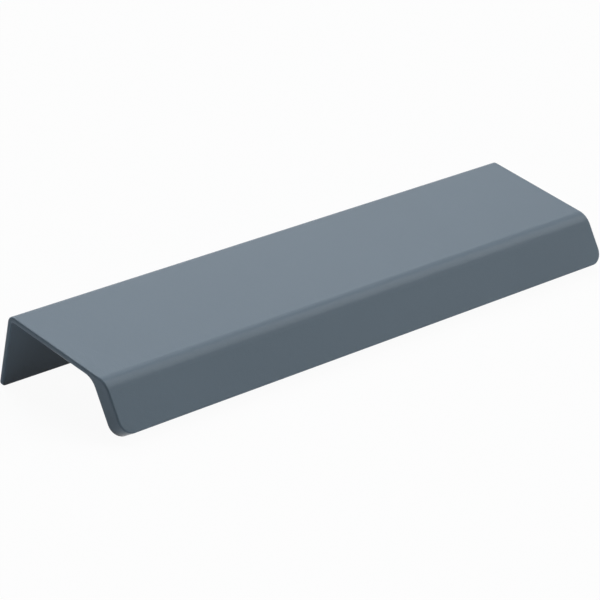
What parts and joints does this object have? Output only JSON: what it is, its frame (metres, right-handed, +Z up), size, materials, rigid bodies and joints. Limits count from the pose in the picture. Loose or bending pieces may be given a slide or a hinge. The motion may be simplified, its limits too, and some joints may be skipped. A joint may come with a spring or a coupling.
{
  "type": "finger pull profile",
  "caption": "Length of extruded edge pull for a handleless cabinet front: a thin leg with screw holes, a flat plate over the front's edge, and a thick sloping finger lip.",
  "frame": {"origin": "on the floor, under the middle of the pull's box", "axes": "+X along the pull, -Y towards the finger lip, +Z up, as the pull lies unheld on the tips of its leg and lip"},
  "size_m": [0.16, 0.0406, 0.0176],
  "materials": {
    "powder_coat": "satin blue-grey powder coat on extruded aluminium"
  },
  "bodies": {
    "root": {"pull_profile": "powder_coat"}
  },
  "joints": []
}
